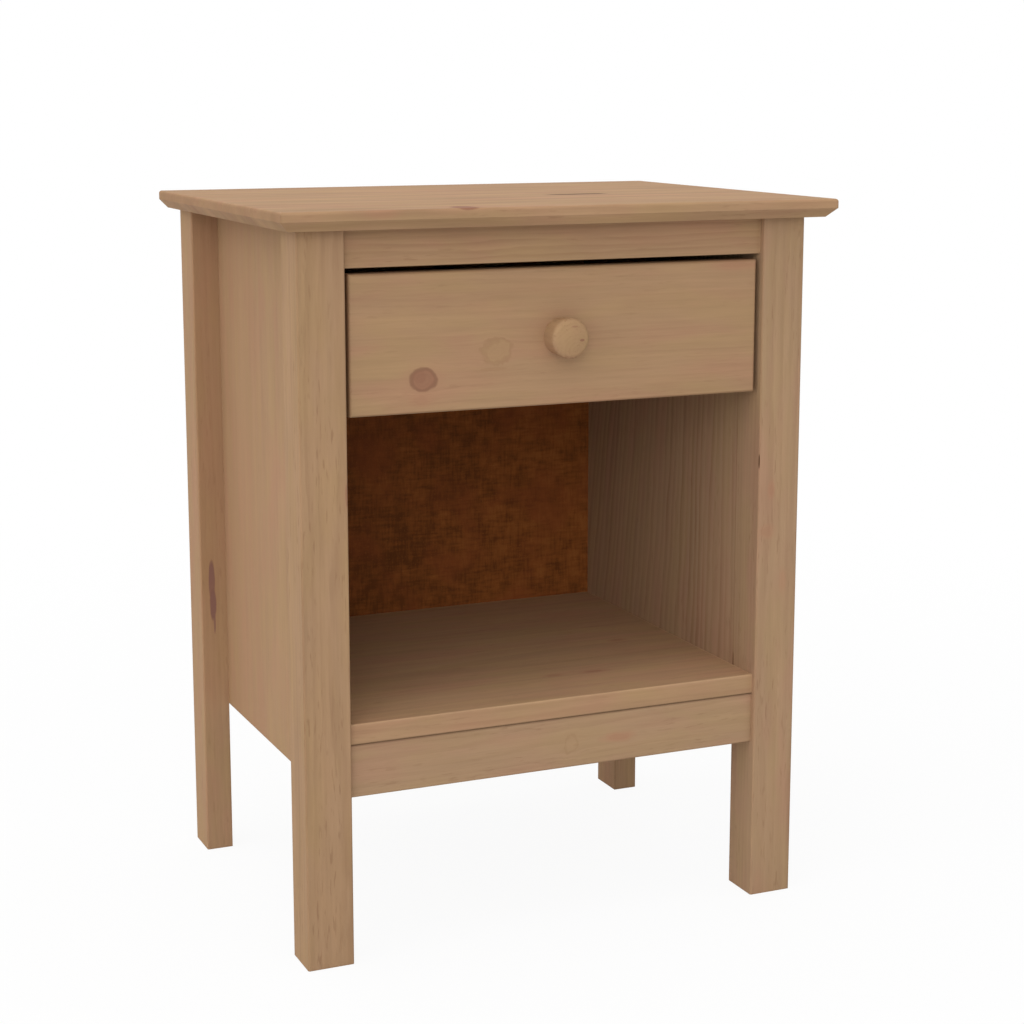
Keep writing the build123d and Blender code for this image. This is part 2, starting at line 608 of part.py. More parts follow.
# Knob, turned about the axis through the middle of the drawer front
knob_end = drawer_face - KNOB_LENGTH
knob_rim = knob_end + KNOB_DOME
with BuildPart() as knob:
    with BuildSketch(Plane.XY.offset(drawer_middle)):
        with BuildLine():
            Polyline(
                (0, knob_end),
                (0, drawer_face),
                (KNOB_BASE_RADIUS, drawer_face),
                (KNOB_FACE_RADIUS, knob_rim + KNOB_RIM_ROUND),
            )
            TangentArc(
                (KNOB_FACE_RADIUS, knob_rim + KNOB_RIM_ROUND),
                (KNOB_FACE_RADIUS - KNOB_RIM_ROUND, knob_rim),
                tangent=(0, -1),
            )
            TangentArc((0, knob_end), (KNOB_FACE_RADIUS - KNOB_RIM_ROUND, knob_rim), tangent=(1, 0))
        make_face()
    revolve(axis=knob_axis)
    with Locations(*knob_screw_seat):
        Hole(KNOB_SCREW_DIAMETER / 2 + HOLE_GAP, depth=knob_screw_length + HOLE_GAP)
knob.part.label = "knob"
export_step(knob.part, "parts/knob.step")

with BuildPart() as knob_screw:
    pan_screws(
        knob_screw_seat,
        KNOB_SCREW_DIAMETER,
        knob_screw_length,
        KNOB_SCREW_HEAD_DIAMETER,
        KNOB_SCREW_HEAD_THICKNESS,
    )
knob_screw.part.label = "knob_screw"
export_step(knob_screw.part, "parts/knob_screw.step")

# Runner channels: folded steel sheet on the cabinet, open towards the drawer
for side, sign in SIDES.items():
    with BuildPart() as channel:
        with BuildSketch(Plane.XZ.offset(-runner_front)):
            with Locations((sign * (panel_inner - SHEET_THICKNESS / 2), channel_middle)):
                Rectangle(SHEET_THICKNESS, channel_ceiling - channel_floor)
            flange_middle = sign * (channel_tip + panel_inner) / 2
            with Locations(
                (flange_middle, channel_floor - SHEET_THICKNESS / 2),
                (flange_middle, channel_ceiling + SHEET_THICKNESS / 2),
            ):
                Rectangle(panel_inner - channel_tip, SHEET_THICKNESS)
        extrude(amount=-runner_length)
        with Locations(*channel_screw_seats):
            Hole(PAN_DIAMETER / 2 + HOLE_GAP, depth=PAN_LENGTH)
        with Locations(*facing((-sign, 0, 0), (sign * channel_web, front_roller_y, roller_z))):
            Hole(AXLE_DIAMETER / 2 + HOLE_GAP, depth=2 * SHEET_THICKNESS)
    channel.part.label = f"{side}_runner_channel"
    export_step(channel.part, f"parts/{side}_runner_channel.step")

# Drawer rails: a foot under the drawer side, a web beside it and a track that rides on the front roller
for side, sign in SIDES.items():
    with BuildPart() as drawer_rail:
        with BuildSketch(Plane.XZ.offset(-runner_front)):
            with Locations((sign * (box_outer + SHEET_THICKNESS / 2), (box_bottom + track_top) / 2)):
                Rectangle(SHEET_THICKNESS, track_top - box_bottom)
            with Locations((sign * (foot_inner + rail_web) / 2, box_bottom - SHEET_THICKNESS / 2)):
                Rectangle(rail_web - foot_inner, SHEET_THICKNESS)
        extrude(amount=-runner_length)
        with BuildSketch(Plane.XZ.offset(-runner_front)):
            with Locations((sign * (box_outer + track_tip) / 2, (track_under + track_top) / 2)):
                Rectangle(track_tip - box_outer, SHEET_THICKNESS)
            with Locations((sign * (track_tip - SHEET_THICKNESS / 2), track_under - TRACK_LIP / 2)):
                Rectangle(SHEET_THICKNESS, TRACK_LIP)
        extrude(amount=runner_front - track_end)
        with Locations(*rail_screw_seats):
            Hole(PAN_DIAMETER / 2 + HOLE_GAP, depth=PAN_LENGTH)
        with Locations(*facing((sign, 0, 0), (sign * rail_web, rear_roller_y, roller_z))):
            Hole(AXLE_DIAMETER / 2 + HOLE_GAP, depth=2 * SHEET_THICKNESS)
    drawer_rail.part.label = f"{side}_drawer_rail"
    export_step(drawer_rail.part, f"parts/{side}_drawer_rail.step")

# Rollers: nylon wheels, counterbored on the side where the head of the axle sits
head_radius = AXLE_HEAD_DIAMETER / 2
head_recess = AXLE_HEAD_SINK + AXLE_HEAD_THICKNESS + RUNNING_CLEARANCE
roller_width = roller_outer - roller_inner
for side, sign in SIDES.items():
    roller_faces = {
        "front": Plane(origin=(sign * roller_inner, front_roller_y, roller_z), z_dir=(-sign, 0, 0)),
        "rear": Plane(origin=(sign * roller_outer, rear_roller_y, roller_z), z_dir=(sign, 0, 0)),
    }
    for place, face in roller_faces.items():
        with BuildPart() as roller:
            with BuildSketch(face):
                Circle(ROLLER_DIAMETER / 2)
            extrude(amount=-roller_width)
            chamfer(roller.edges(), ROLLER_RIM_CHAMFER)
            with Locations(face):
                CounterBoreHole(
                    AXLE_DIAMETER / 2 + AXLE_FIT,
                    head_radius + AXLE_HEAD_PLAY,
                    head_recess,
                    depth=roller_width,
                )
        roller.part.label = f"{place}_{side}_roller"
        export_step(roller.part, f"parts/{place}_{side}_roller.step")

# Front roller axles: riveted into the channel, with a shoulder between channel and roller
with BuildPart() as front_axles:
    for sign in SIDES.values():
        axle_base = Plane(origin=(sign * panel_inner, front_roller_y, roller_z), z_dir=(-sign, 0, 0))
        head_top = panel_inner - roller_inner - AXLE_HEAD_SINK
        with BuildSketch(axle_base):
            Circle(AXLE_DIAMETER / 2)
        extrude(amount=head_top)
        with BuildSketch(axle_base.offset(SHEET_THICKNESS)):
            Circle(head_radius)
        extrude(amount=channel_web - roller_outer - RUNNING_CLEARANCE)
        with BuildSketch(axle_base.offset(head_top)):
            Circle(head_radius)
        extrude(amount=-AXLE_HEAD_THICKNESS)
front_axles.part.label = "front_roller_axles"
export_step(front_axles.part, "parts/front_roller_axles.step")

# Rear roller axles: riveted into the drawer rail
with BuildPart() as rear_axles:
    for sign in SIDES.values():
        axle_base = Plane(origin=(sign * box_outer, rear_roller_y, roller_z), z_dir=(sign, 0, 0))
        head_top = roller_outer - box_outer - AXLE_HEAD_SINK
        with BuildSketch(axle_base):
            Circle(AXLE_DIAMETER / 2)
        extrude(amount=head_top)
        with BuildSketch(axle_base.offset(head_top)):
            Circle(head_radius)
        extrude(amount=-AXLE_HEAD_THICKNESS)
rear_axles.part.label = "rear_roller_axles"
export_step(rear_axles.part, "parts/rear_roller_axles.step")

# Dowels
with BuildPart() as front_rail_dowels:
    for sign in SIDES.values():
        middles = [(sign * panel_inner, top_rail_dowel_y, z) for z in top_rail_dowel_z]
        middles += [(sign * panel_inner, apron_dowel_y, z) for z in apron_dowel_z]
        dowels(facing((sign, 0, 0), *middles), DOWEL_DIAMETER, DOWEL_LENGTH)
    chamfer(front_rail_dowels.edges().filter_by(GeomType.CIRCLE), DOWEL_CHAMFER)
front_rail_dowels.part.label = "front_rail_dowels"
export_step(front_rail_dowels.part, "parts/front_rail_dowels.step")

with BuildPart() as back_rail_dowels:
    for sign in SIDES.values():
        x = sign * (panel_inner + PANEL_DOWEL_DEPTH - DOWEL_LENGTH / 2)
        middles = [(x, back_rail_middle, z) for z in back_top_rail_dowel_z + apron_dowel_z]
        dowels(facing((sign, 0, 0), *middles), DOWEL_DIAMETER, DOWEL_LENGTH)
    chamfer(back_rail_dowels.edges().filter_by(GeomType.CIRCLE), DOWEL_CHAMFER)
back_rail_dowels.part.label = "back_rail_dowels"
export_step(back_rail_dowels.part, "parts/back_rail_dowels.step")

with BuildPart() as back_leg_dowels:
    for sign in SIDES.values():
        x = sign * (panel_outer - PANEL_DOWEL_DEPTH + back_leg_dowel_length / 2)
        middles = [(x, back_leg_y, z) for z in back_leg_dowel_z]
        dowels(facing((sign, 0, 0), *middles), DOWEL_DIAMETER, back_leg_dowel_length)
    chamfer(back_leg_dowels.edges().filter_by(GeomType.CIRCLE), DOWEL_CHAMFER)
back_leg_dowels.part.label = "back_leg_dowels"
export_step(back_leg_dowels.part, "parts/back_leg_dowels.step")

with BuildPart() as drawer_dowels:
    for sign in SIDES.values():
        x = sign * (box_outer - DOWEL_LENGTH / 2)
        middles = [(x, drawer_dowel_y, z) for z in drawer_dowel_z]
        dowels(facing((sign, 0, 0), *middles), DRAWER_DOWEL_DIAMETER, DOWEL_LENGTH)
drawer_dowels.part.label = "drawer_dowels"
export_step(drawer_dowels.part, "parts/drawer_dowels.step")

# Screws
screw_groups = {
    "top_screws": top_screw_seats,
    "shelf_screws": shelf_screw_seats,
    "cleat_screws": cleat_screw_seats,
}
for name, seats in screw_groups.items():
    with BuildPart() as screws:
        wood_screws(seats)
    screws.part.label = name
    export_step(screws.part, f"parts/{name}.step")

runner_screw_groups = {
    "channel_screws": channel_screw_seats,
    "drawer_rail_screws": rail_screw_seats,
}
for name, seats in runner_screw_groups.items():
    with BuildPart() as screws:
        pan_screws(seats, PAN_DIAMETER, PAN_LENGTH, PAN_HEAD_DIAMETER, PAN_HEAD_THICKNESS)
    screws.part.label = name
    export_step(screws.part, f"parts/{name}.step")

# Nails
nail_groups = {
    "back_panel_nails": back_nail_seats,
    "drawer_bottom_nails": drawer_nail_seats,
}
for name, seats in nail_groups.items():
    with BuildPart() as nail_row:
        nails(seats)
    nail_row.part.label = name
    export_step(nail_row.part, f"parts/{name}.step")
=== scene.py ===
import math

import bpy
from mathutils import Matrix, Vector


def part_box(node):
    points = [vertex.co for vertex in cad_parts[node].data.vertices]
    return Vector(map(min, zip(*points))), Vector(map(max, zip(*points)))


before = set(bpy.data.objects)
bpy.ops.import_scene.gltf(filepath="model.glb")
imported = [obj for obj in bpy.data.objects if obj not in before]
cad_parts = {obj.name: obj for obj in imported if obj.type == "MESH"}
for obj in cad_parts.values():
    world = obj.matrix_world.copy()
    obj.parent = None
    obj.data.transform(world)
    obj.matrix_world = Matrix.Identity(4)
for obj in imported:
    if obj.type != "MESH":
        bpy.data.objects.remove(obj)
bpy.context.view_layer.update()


# The legs are four square posts of solid pine, planed and sanded, with their corners eased.
# The front pair is grooved for the side panels, and the back pair is dowelled on beside them.
# All the outside wood is stained light brown and has a satin clear coat.
class Value:
    """A number, colour or vector that changes over a surface: one output of a node.
    Sums on numbers are written as Python and become Math nodes."""

    def __init__(self, finish, socket):
        self.finish, self.socket = finish, socket

    def beside(self, out):
        """Another output of the same node."""
        return Value(self.finish, self.socket.node.outputs[out])

    def __add__(self, other):
        return self.finish.sum("ADD", self, other)

    def __sub__(self, other):
        return self.finish.sum("SUBTRACT", self, other)

    def __rsub__(self, other):
        return self.finish.sum("SUBTRACT", other, self)

    def __mul__(self, other):
        return self.finish.sum("MULTIPLY", self, other)

    def __truediv__(self, other):
        return self.finish.sum("DIVIDE", self, other)

    def __rtruediv__(self, other):
        return self.finish.sum("DIVIDE", other, self)

    def __pow__(self, other):
        return self.finish.sum("POWER", self, other)

    def __abs__(self):
        return self.finish.sum("ABSOLUTE", self)

    def __floor__(self):
        return self.finish.sum("FLOOR", self)

    __radd__ = __add__
    __rmul__ = __mul__


class Finish:
    """A tree of nodes while it is being made up."""

    def __init__(self, tree):
        self.tree = tree
        tree.nodes.clear()

    def add(self, kind, settings, sockets, out=0):
        """Adds one node: its settings first, then the values or links of its sockets."""
        node = self.tree.nodes.new("ShaderNode" + kind)
        for name, setting in settings.items():
            setattr(node, name, setting)
        for name, given in sockets.items():
            if isinstance(given, Value):
                self.tree.links.new(node.inputs[name], given.socket)
            else:
                node.inputs[name].default_value = given
        return Value(self, node.outputs[out]) if node.outputs else None

    def sum(self, operation, *numbers):
        """One Math node on these numbers."""
        return self.add("Math", {"operation": operation}, dict(enumerate(numbers)))

    def vector(self, operation, *vectors, out=0):
        """One Vector Math node on these vectors or colours."""
        return self.add("VectorMath", {"operation": operation}, dict(enumerate(vectors)), out)

    def scale(self, vector, times):
        """A vector made this many times as long, or a colour this many times as bright."""
        return self.add("VectorMath", {"operation": "SCALE"}, {0: vector, "Scale": times})

    def blend(self, share, first, second):
        """The first colour where share is 0, the second where it is 1."""
        return self.add("Mix", {"data_type": "RGBA"}, {"Factor": share, 6: first, 7: second}, out=2)

    def rise(self, value, start, end):
        """Climbs smoothly from 0 at start to 1 at end."""
        return self.add("MapRange", {"interpolation_type": "SMOOTHSTEP"},
                        {"Value": value, "From Min": start, "From Max": end})

    def place(self):
        """Where a point of the piece lies, in millimetres in the object's own frame."""
        return self.scale(self.add("TexCoord", {}, {}, "Object"), 1000.0)

    def noise(self, spot, size, detail=2.0, out=0):
        """Soft noise from 0 to 1 whose blotches have this size, one length for each direction."""
        return self.add("TexNoise", {}, {"Vector": self.vector("DIVIDE", spot, size), "Scale": 1.0,
                                         "Detail": detail}, out)

    def surface(self, colour, roughness, height, depth_mm, **constants):
        """Ends the tree in a surface shader, with a relief that follows height, depth_mm deep."""
        relief = self.add("Bump", {}, {"Height": height, "Distance": depth_mm / 1000})
        sockets = {"Base Color": colour, "Roughness": roughness, "Normal": relief}
        for name, constant in constants.items():
            sockets[name.replace("_", " ").title().replace("Ior", "IOR")] = constant
        self.add("OutputMaterial", {}, {"Surface": self.add("BsdfPrincipled", {}, sockets)})


def new_finish(name):
    """A new material, and the tree of nodes that it is made up in."""
    material = bpy.data.materials.new(name)
    material.use_nodes = True
    return material, Finish(material.node_tree)


def dress(node, material):
    """Gives a piece its finish."""
    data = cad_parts[node].data
    data.materials.clear()
    data.materials.append(material)


def box_mm(node):
    """The lowest and highest corners of a piece, in millimetres."""
    return [1000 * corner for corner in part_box(node)]


def tint(red, green, blue):
    """A colour given as it looks on a screen, from 0 to 255."""
    return tuple((c / 255 / 12.92 if c <= 10 else ((c / 255 + 0.055) / 1.055) ** 2.4)
                 for c in (red, green, blue)) + (1.0,)


# Colours of the stained wood, of a greyer and a yellower lot of it, and of what marks it. The arris
# colour also serves as a painted highlight, one brown also as painted shade, and the joint colour is
# gathered stain together with painted shade
STAINED = {"pale": tint(168, 135, 103), "tan": tint(168, 136, 101), "blush": tint(169, 131, 102),
           "late": tint(122, 88, 64), "end": tint(144, 110, 81), "arris": tint(186, 153, 119)}
GREYER = {**STAINED, "pale": tint(168, 137, 107), "tan": tint(168, 138, 105),
          "blush": tint(169, 133, 106)}
YELLOWER = {**STAINED, "blush": tint(170, 137, 106)}
KNOT = {"halo": tint(170, 125, 98), "heart": tint(144, 102, 81), "rim": tint(114, 78, 62)}
GHOST = {"halo": tint(170, 136, 104), "heart": tint(167, 136, 99), "rim": tint(136, 104, 73)}
SPLIT = {"halo": tint(150, 116, 86), "heart": tint(84, 58, 40), "rim": tint(78, 54, 38)}
RESIN = {"halo": tint(150, 112, 84), "heart": tint(132, 97, 86), "rim": tint(124, 90, 78)}
BROWN_AND_PAINTED_SHADE = {"halo": tint(152, 116, 86), "heart": tint(152, 116, 86), "rim": tint(140, 106, 78)}
JOINT_STAIN_AND_SHADE = tint(66, 45, 32)
COAT = {"coat_weight": 0.03, "coat_roughness": 0.5, "specular_ior_level": 0.04}
SATIN = 0.66

# How long, wide and deep the features of the grain are, in millimetres
GRAIN = {"bend": (620.0, 90.0, 90.0), "wave": (110.0, 24.0, 24.0), "ripple": (30.0, 5.0, 5.0),
         "break": (90.0, 9.0, 9.0), "fibre": (34.0, 1.6, 1.6), "pore": (15.0, 2.2, 2.2),
         "cluster": (90.0, 16.0, 16.0), "streak": (300.0, 7.0, 7.0), "band": (170.0, 20.0, 20.0),
         "cloud": (90.0, 24.0, 24.0)}
TEAR = (9.0, 9.0, 9.0)
BEND_REACH = 34.0
LOG_LENGTH = 1900.0
# How deep from the top of a board the painted light on its upper face reaches, in millimetres
PAINTED_TOP_LIGHT_DEPTH = 4.0
# How deep the grain's relief is, in millimetres
RELIEF = 0.1

# How far the rings wander, in rings, how far the strips' hearts lie apart, and how much the tone varies
WAVE_REACH, RIPPLE_REACH = 0.9, 0.4
HEART_SPREAD = 3.0
STAVE_TONE, FIBRE_TONE, STREAK_TONE, CLOUD_TONE = 0.05, 0.16, 0.14, 0.1

# Where in a year's growth the wood starts to darken and where it is darkest, and how much of the dark
# line is left in a faint year or at a break
SPRING, LATE, FAINTEST = 0.1, 0.84, 0.4

# Where a feature begins to show and where it shows in full, on the noise's scale from 0 to 1
BROKEN, PORE, CLUSTER = (0.3, 0.65), (0.56, 0.74), (0.4, 0.66)
BLUSH, TAN = (0.35, 0.7), (0.4, 0.7)

# How far a face has to turn to be end grain, and how much more stain it then drinks
END_TURN, END_STAIN = (0.6, 0.9), 0.5

# How far from a corner, in millimetres, the colour changes, and how ragged that strip is: paler corners
# are sanding together with a painted highlight, darker ones gathered stain together with painted shade
CORNER_WEAR_AND_LIGHT, CORNER_WEAR_AND_LIGHT_RAGGED = (0.3, 2.2), 1.6

# Where a knot's heart and halo fade, where its rim comes and goes, and its rings, in half sizes
HEART, HALO = (0.75, 1.05), (0.7, 2.2)
RIM_INSIDE, RIM_OUTSIDE = (0.66, 0.95), (0.96, 1.15)
KNOT_RING, KNOT_RING_DARK = 0.16, 0.868


def knot(at, size, heart=0.9, rim=0.5, halo=0.5, swing=0.6, ragged=0.2, colours=KNOT):
    """A knot's middle and half sizes, how strongly its heart, rim and halo show, how far the grain
    swings round it, and how ragged its outline is."""
    return {"at": at, "size": Vector(size), "heart": heart, "rim": rim, "halo": halo, "swing": swing,
            "ragged": ragged, "colours": colours}


def blemish(at, size, heart=0.0, halo=0.0, ragged=0.2, colours=KNOT):
    """A patch of stain, resin, dirt or painted shade: like a knot with no rim, and the grain runs
    straight past it.
    """
    return knot(at, size, heart, rim=0.0, halo=halo, swing=0.0, ragged=ragged, colours=colours)


def knot_reach(wood, place, rough, mark):
    """0 in the middle of a knot, 1 on its ragged outline and more outside."""
    torn = wood.vector("MULTIPLY_ADD", rough, mark["size"] * mark["ragged"] * 2, place)
    away = wood.vector("SUBTRACT", torn, Vector(mark["at"]) + mark["size"] * mark["ragged"])
    return wood.vector("LENGTH", wood.vector("DIVIDE", away, mark["size"]), out="Value")


def draw_knot(wood, colour, mark, reach):
    """Stains a knot into the wood: rings round a red heart, a dark rim and a rosy halo."""
    colours = mark["colours"]
    heart = (1 - wood.rise(reach, *HEART)) * mark["heart"]
    rim = wood.rise(reach, *RIM_INSIDE) * (1 - wood.rise(reach, *RIM_OUTSIDE)) * mark["rim"]
    halo = (1 - wood.rise(reach, *HALO)) * mark["halo"]
    rings = wood.sum("PINGPONG", reach, KNOT_RING) * KNOT_RING_DARK
    colour = wood.blend(halo, colour, colours["halo"])
    colour = wood.blend(heart, colour, wood.blend(rings, colours["heart"], colours["rim"]))
    return wood.blend(rim, colour, colours["rim"])


def late_wood(wood, lie, side, depth, ring, first_year):
    """The thin dark line in which each year's growth ends, as a share from 0 to 1. side and depth are
    how far a spot lies from the log's heart, and ring is the width of a year's growth."""
    radius = (side * side + depth * depth) ** 0.5
    radius = radius + (wood.noise(lie, GRAIN["wave"]) - 0.5) * WAVE_REACH * ring
    radius = radius + (wood.noise(lie, GRAIN["ripple"]) - 0.5) * RIPPLE_REACH * ring
    years = radius / ring
    year = math.floor(years)
    season = years - year
    late = wood.rise(season, SPRING, LATE) * (1 - wood.rise(season, LATE, 1.0))
    weather = wood.add("TexWhiteNoise", {"noise_dimensions": "1D"}, {"W": year + first_year}, "Value")
    broken = wood.rise(wood.noise(lie, GRAIN["break"]), *BROKEN)
    for strength in (weather, broken):
        late = late * (strength * (1 - FAINTEST) + FAINTEST)
    return late


def corner_gap(wood, spot, low, high):
    """How far a spot lies from the nearest corner line of a board, where two faces meet: the middle one
    of its distances from the faces in the three directions."""
    gaps = [wood.sum("MINIMUM", spot.beside(i) - low[i], high[i] - spot.beside(i)) for i in range(3)]
    lesser, greater = (wood.sum(pick, gaps[0], gaps[1]) for pick in ("MINIMUM", "MAXIMUM"))
    return wood.sum("MAXIMUM", lesser, wood.sum("MINIMUM", greater, gaps[2]))


def pine(node, axes, pith, ring, grain, pores=0.25, bands=0.1, stain=STAINED, stave=0.0, lean=0.0,
         edge=-0.15, painted_top_light=0.0, stained_and_shaded_joints=(), marks=()):
    """One board sawn from a log, in millimetres. axes names the directions along the grain, across the
    face and through the board. pith is how far the log's heart lies from the board's middle, across and
    through. ring is the width of a year's growth, grain the strength of its dark line, and lean how far
    the lines run off across the board. pores is the strength of the short dark dashes, and bands that of
    wide soft streaks. A wide board is glued from strips of the width stave. edge is how much paler the
    corners are, sanding together with a painted highlight, or, below 0, how much darker they are,
    gathered stain together with painted shade. painted_top_light is how much paler the upper face is
    painted, as painted light. stained_and_shaded_joints are joints darkened by stain gathered in them
    together with
    painted shade: their axis, place, width and darkness. marks are the knots and blemishes."""
    material, wood = new_finish(node + "_pine")
    low, high = box_mm(node)
    middle = (low + high) / 2
    length, width, thickness = ("XYZ".index(axis) for axis in axes)
    place = wood.place()
    spot = wood.add("SeparateXYZ", {}, {0: place})
    along, across, through = (spot.beside(way) for way in (length, width, thickness))
    if lean:
        share = wood.rise(across, low[width], high[width])
        across = across + (along - middle[length]) * share * lean

    # The grain swings round each knot
    rough = wood.noise(place, TEAR, out="Color")
    reaches = [knot_reach(wood, place, rough, mark) for mark in marks]
    for mark, reach in zip(marks, reaches):
        across = across - (across - mark["at"][width]) * (mark["swing"] / (1 + reach ** 4))

    # Each glued strip comes from another part of the log
    heart = middle[width] + pith[0]
    tone = 1.0
    if stave:
        strip = math.floor((across - low[width]) / stave)
        draw = {"W": strip + middle.x + middle.y}
        lot = wood.add("TexWhiteNoise", {"noise_dimensions": "1D"}, draw, "Color")
        lots = wood.add("SeparateColor", {}, {0: lot})
        along = along + lots.beside("Green") * LOG_LENGTH
        heart = strip * stave + (lots.beside("Red") - 0.5) * pith[0] * HEART_SPREAD + low[width]
        tone = (lots.beside("Blue") - 0.5) * STAVE_TONE + 1
    lie = wood.add("CombineXYZ", {}, {0: along, 1: across, 2: through})

    # Rings round a log that isn't quite straight
    bend = wood.add("SeparateColor", {}, {0: wood.noise(lie, GRAIN["bend"], out="Color")})
    side = across - heart + (bend.beside("Red") - 0.5) * BEND_REACH
    depth = through - (middle[thickness] + pith[1]) + (bend.beside("Green") - 0.5) * BEND_REACH
    late = late_wood(wood, lie, side, depth, ring, first_year=middle.z)

    # Fibres, short dark pores in clusters, and pink and tan clouds along the grain
    fibre = wood.noise(lie, GRAIN["fibre"], detail=3.0)
    pore = wood.rise(wood.noise(lie, GRAIN["pore"], detail=1.0), *PORE)
    pore = pore * wood.rise(wood.noise(lie, GRAIN["cluster"]), *CLUSTER)
    streak = wood.noise(lie, GRAIN["streak"])
    band = wood.noise(lie, GRAIN["band"])
    clouds = wood.add("SeparateColor", {}, {0: wood.noise(lie, GRAIN["cloud"], out="Color")})
    drift = (fibre - 0.5) * FIBRE_TONE + (streak - 0.5) * STREAK_TONE + (band - 0.5) * bands
    tone = tone * (drift + (clouds.beside("Blue") - 0.5) * CLOUD_TONE + 1)
    # Painted light: the upper face, and the top of the edges just under it, are painted paler, as if more
    # light fell on them
    if painted_top_light:
        tone = tone + wood.rise(through, high[thickness] - PAINTED_TOP_LIGHT_DEPTH, high[thickness]) * painted_top_light
    colour = wood.blend(wood.rise(clouds.beside("Red"), *BLUSH), stain["pale"], stain["blush"])
    colour = wood.blend(wood.rise(clouds.beside("Green"), *TAN), colour, stain["tan"])
    colour = wood.blend(late * grain, colour, stain["late"])
    colour = wood.blend(pore * pores, colour, stain["late"])
    colour = wood.scale(colour, tone)

    # End grain drinks more stain. The eased corners are paler where edge is above 0, sanding together
    # with a painted highlight, and darker where it is below 0, gathered stain together with painted shade
    facing = wood.add("SeparateXYZ", {}, {0: wood.add("TexCoord", {}, {}, "Normal")})
    end = wood.rise(abs(facing.beside(length)), *END_TURN)
    colour = wood.blend(end * END_STAIN, colour, stain["end"])
    corner_wear_and_light = 1 - wood.rise(corner_gap(wood, spot, low, high) + (fibre - 0.5) * CORNER_WEAR_AND_LIGHT_RAGGED, *CORNER_WEAR_AND_LIGHT)
    colour = wood.blend(corner_wear_and_light * abs(edge), colour, stain["arris" if edge > 0 else "late"])
    # Joints are darkened: stain gathered in them together with painted shade in the groove between the
    # boards
    for axis, at, spread, dark in stained_and_shaded_joints:
        off = abs(spot.beside("XYZ".index(axis)) - at)
        colour = wood.blend((1 - wood.rise(off, 0.0, spread)) * dark, colour, JOINT_STAIN_AND_SHADE)
    for mark, reach in zip(marks, reaches):
        colour = draw_knot(wood, colour, mark, reach)

    roughness = SATIN - late * 0.08 + (fibre - 0.5) * 0.16
    wood.surface(colour, roughness, fibre * 0.6 - late * 0.4, RELIEF, **COAT)
    dress(node, material)


LEG_FRONT = box_mm("front_left_leg")[0].y
LEG_INSIDE = box_mm("front_right_leg")[0].x
PANEL_JOINT = box_mm("front_right_leg")[1].y
BACK_LEG_FRONT = box_mm("back_left_leg")[0].y
# At the foot of the joint between the right leg and the right panel, just above the shelf, a dark patch:
# stain gathered there together with painted shade in the corner
JOINT_FOOT = blemish((LEG_INSIDE, PANEL_JOINT, 213.0), (6.0, 1.0, 11.0), heart=0.7, halo=0.2,
                     colours=SPLIT)
pine("front_left_leg", "ZXY", pith=(46.0, 75.0), ring=5.0, grain=0.22, pores=0.34, bands=0.22,
     stain=YELLOWER,
     marks=[blemish((-194.0, LEG_FRONT, 407.0), (2.2, 6.0, 10.0), heart=0.5, halo=0.2)])
pine("front_right_leg", "ZXY", pith=(-58.0, 60.0), ring=5.6, grain=0.2, pores=0.32, bands=0.18,
     stain=GREYER,
     marks=[knot((206.6, LEG_FRONT, 381.0), (2.4, 9.0, 5.5), heart=0.1, rim=0.0, halo=0.5, ragged=0.4),
            knot((203.0, LEG_FRONT, 343.0), (5.0, 9.0, 4.5), heart=0.1, rim=0.0, halo=0.4, ragged=0.5),
            knot((220.5, LEG_FRONT, 296.0), (2.4, 9.0, 8.0), heart=0.0, rim=0.0, halo=0.35, ragged=0.4),
            blemish((LEG_INSIDE, LEG_FRONT + 0.5, 407.0), (0.9, 0.9, 8.0), heart=1.0, ragged=0.1,
                    colours=SPLIT),
            JOINT_FOOT])
pine("back_left_leg", "ZXY", pith=(-40.0, -70.0), ring=5.0, grain=0.15,
     # A broad darker patch over the upper front face is painted shade, under the top and in the corner
     # beside the panel
     marks=[blemish((-223.6, BACK_LEG_FRONT, 430.0), (26.0, 5.0, 130.0), halo=0.4, colours=BROWN_AND_PAINTED_SHADE),
            knot((-223.8, BACK_LEG_FRONT, 269.0), (3.0, 14.0, 20.5), heart=1.0, rim=0.5, halo=0.2,
                 swing=0.3, ragged=0.12, colours=RESIN),
            knot((-223.0, BACK_LEG_FRONT, 246.0), (3.2, 14.0, 15.5), heart=1.0, rim=0.3, halo=0.2,
                 swing=0.3, ragged=0.15, colours=RESIN),
            blemish((-221.8, BACK_LEG_FRONT, 227.0), (1.1, 14.0, 11.0), heart=0.8, colours=RESIN)])
pine("back_right_leg", "ZXY", pith=(52.0, -64.0), ring=5.0, grain=0.15)


# The side panels are wide pine boards with upright grain, stained like the legs.
# They stand in the grooves of the front legs, flush with them on the inside.
PANEL_OUTSIDE = box_mm("left_side_panel")[0].x
pine("left_side_panel", "ZYX", pith=(30.0, 44.0), ring=14.0, grain=0.12, pores=0.12, stave=78.0,
     # A broad darker patch over the back of the outside face is painted shade, under the top and beside
     # the back leg
     marks=[blemish((PANEL_OUTSIDE, 90.0, 400.0), (40.0, 50.0, 240.0), halo=0.3, colours=BROWN_AND_PAINTED_SHADE)])
pine("right_side_panel", "ZYX", pith=(-260.0, 60.0), ring=9.0, grain=0.44, stain=GREYER, lean=0.16,
     stained_and_shaded_joints=[("Y", PANEL_JOINT, 1.8, 0.3)], marks=[JOINT_FOOT])


# The front top rail and the apron are planed pine rails, dowelled into the front legs.
# The rail hides the runners above the drawer, and the apron stiffens the shelf's front edge.
APRON_FRONT, APRON_TOP = box_mm("apron")[0].y, box_mm("apron")[1].z
